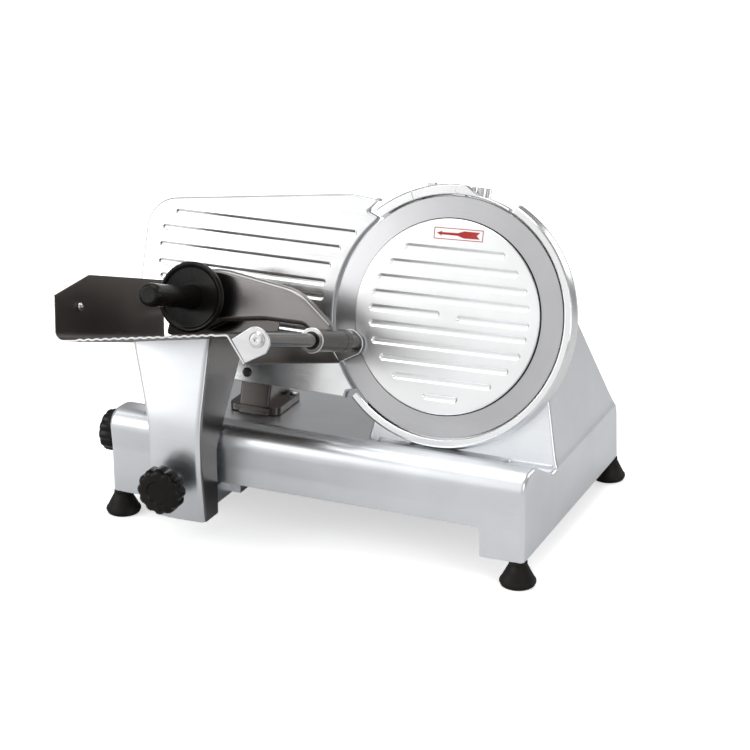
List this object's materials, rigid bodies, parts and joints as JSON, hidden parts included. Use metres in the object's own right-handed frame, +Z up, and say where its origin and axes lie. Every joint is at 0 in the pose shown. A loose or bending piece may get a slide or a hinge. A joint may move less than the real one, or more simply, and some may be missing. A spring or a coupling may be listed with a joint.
{
  "type": "meat slicer",
  "caption": "Countertop deli slicer: tilted round blade in a guard rim, grooved gauge plate, sliding food tray with swing-up pusher, thickness dial and motor tower on a cast base.",
  "frame": {"origin": "on the table under the middle of the whole object's box, between the feet", "axes": "+X to the operator's right along the carriage's travel, +Y from the operator to the back, +Z up"},
  "size_m": [0.5061, 0.4367, 0.3557],
  "materials": {
    "cast_aluminium": "satin",
    "stainless_steel": "satin",
    "black_plastic": "semi-gloss",
    "chromed_steel": "polished",
    "black_rubber": "matte",
    "zinc_steel": "satin",
    "motor_paint": "satin",
    "polished_aluminium": "satin",
    "grey_plastic": "matte",
    "blade_steel": "polished",
    "pulley_aluminium": "machined",
    "grey_paint": "satin",
    "bronze": "machined",
    "tray_steel": "satin",
    "green_plastic": "gloss",
    "red_plastic": "gloss",
    "sharpening_stone": "matte"
  },
  "bodies": {
    "base": {"base_casting": "cast_aluminium", "bottom_plate": "zinc_steel", "foot_front_left": "black_rubber", "foot_front_right": "black_rubber", "foot_rear_left": "black_rubber", "foot_rear_right": "black_rubber", "foot_screws": "zinc_steel", "slide_rod": "chromed_steel", "guide_rail": "stainless_steel", "blade_housing": "cast_aluminium", "slice_deflector": "stainless_steel", "drive_plate": "zinc_steel", "drive_plate_standoffs": "zinc_steel", "blade_axle": "stainless_steel", "hub_bearings": "chromed_steel", "motor_body": "motor_paint", "drive_belt": "black_rubber", "sharpener_body": "cast_aluminium", "blade_cover": "polished_aluminium", "gauge_bracket": "cast_aluminium", "switch_plate": "grey_plastic", "cable_gland": "black_plastic", "casing_screws": "zinc_steel"},
    "blade": {"slicing_blade": "blade_steel", "blade_hub": "stainless_steel", "driven_pulley": "pulley_aluminium", "blade_screws": "zinc_steel"},
    "motor_rotor": {"motor_shaft": "stainless_steel", "motor_pulley": "pulley_aluminium"},
    "cover_knob": {"cover_knob": "black_plastic"},
    "dial": {"thickness_dial": "black_plastic", "dial_shaft": "stainless_steel", "gauge_cam": "stainless_steel"},
    "gauge": {"gauge_plate": "polished_aluminium", "gauge_stem": "stainless_steel", "gauge_slide_arm": "zinc_steel", "gauge_screw": "stainless_steel"},
    "carriage": {"carriage_arm": "grey_paint", "carriage_slider": "cast_aluminium", "slider_bushes": "bronze", "product_tray": "tray_steel", "rod_lugs": "tray_steel", "pusher_rod": "chromed_steel", "rod_bolts": "chromed_steel", "tray_screws": "zinc_steel"},
    "arm_knob": {"carriage_knob": "black_plastic", "carriage_knob_stud": "zinc_steel"},
    "pusher_bush": {"rod_bush": "bronze"},
    "pusher": {"pusher_casting": "polished_aluminium", "press_plate": "stainless_steel", "press_plate_screws": "zinc_steel", "guard_disc": "black_plastic", "handle_grip": "black_plastic"},
    "start_button": {"start_button": "green_plastic"},
    "stop_button": {"stop_button": "red_plastic"},
    "grinding_button": {"grinding_button": "black_plastic"},
    "grinding_stone": {"grinding_stone": "sharpening_stone"},
    "honing_button": {"honing_button": "grey_plastic"},
    "honing_stone": {"honing_stone": "sharpening_stone"},
    "clamp_knob": {"clamp_knob": "chromed_steel"}
  },
  "joints": [
    {"name": "blade_spin", "type": "hinge", "parent": "base", "child": "blade", "pos_m": [0.1069, 0.02705, 0.2247], "axis": [0, -0.9511, 0.309], "continuous": true},
    {"name": "motor_spin", "type": "hinge", "parent": "base", "child": "motor_rotor", "pos_m": [0.1269, 0.05167, 0.1063], "axis": [0, -0.9511, 0.309], "continuous": true},
    {"name": "cover_knob_turn", "type": "hinge", "parent": "base", "child": "cover_knob", "pos_m": [0.1069, 0.16971, 0.17835], "axis": [0, 0.9511, -0.309], "range_deg": [0, 720]},
    {"name": "dial_turn", "type": "hinge", "parent": "base", "child": "dial", "pos_m": [-0.2231, -0.06795, 0.08], "axis": [1, 0, 0], "range_deg": [0, 300.1]},
    {"name": "gauge_slide", "type": "slide", "parent": "base", "child": "gauge", "axis": [0, 0.9511, -0.309], "range_m": [0, 0.01296]},
    {"name": "carriage_slide", "type": "slide", "parent": "base", "child": "carriage", "axis": [1, 0, 0], "range_m": [0, 0.265]},
    {"name": "arm_knob_turn", "type": "hinge", "parent": "carriage", "child": "arm_knob", "pos_m": [-0.1221, -0.16295, 0.071], "axis": [0, -1, 0], "range_deg": [0, 720]},
    {"name": "pusher_slide", "type": "slide", "parent": "carriage", "child": "pusher_bush", "axis": [0, -0.9511, 0.309], "range_m": [-0.02, 0.12]},
    {"name": "pusher_lift", "type": "hinge", "parent": "pusher_bush", "child": "pusher", "pos_m": [0.0085, -0.0513, 0.2101], "axis": [0, 0.9511, -0.309], "range_deg": [0, 100]},
    {"name": "start_press", "type": "slide", "parent": "base", "child": "start_button", "axis": [1, 0, 0], "range_m": [0, 0.003], "stiffness_N_per_m": 500, "springref_m": -0.002},
    {"name": "stop_press", "type": "slide", "parent": "base", "child": "stop_button", "axis": [1, 0, 0], "range_m": [0, 0.003], "stiffness_N_per_m": 500, "springref_m": -0.002},
    {"name": "grinding_press", "type": "slide", "parent": "base", "child": "grinding_button", "axis": [0, -0.9511, 0.309], "range_m": [0, 0.009], "stiffness_N_per_m": 300, "springref_m": -0.004},
    {"name": "grinding_stone_spin", "type": "hinge", "parent": "grinding_button", "child": "grinding_stone", "pos_m": [0.0759, 0.07538, 0.31519], "axis": [0, -0.9511, 0.309], "continuous": true},
    {"name": "honing_press", "type": "slide", "parent": "base", "child": "honing_button", "axis": [0, -0.9511, 0.309], "range_m": [0, 0.009], "stiffness_N_per_m": 300, "springref_m": -0.004},
    {"name": "honing_stone_spin", "type": "hinge", "parent": "honing_button", "child": "honing_stone", "pos_m": [0.1079, 0.07692, 0.31995], "axis": [0, -0.9511, 0.309], "continuous": true},
    {"name": "clamp_knob_turn", "type": "hinge", "parent": "base", "child": "clamp_knob", "pos_m": [0.1184, 0.08943, 0.33902], "axis": [0, 0.309, 0.9511], "range_deg": [0, 720]}
  ],
  "couplings": [
    {"joint": "dial_turn", "follows": "gauge_slide", "rad_per_m": 404.01},
    {"joint": "motor_spin", "follows": "blade_spin", "ratio": 2.7692}
  ]
}
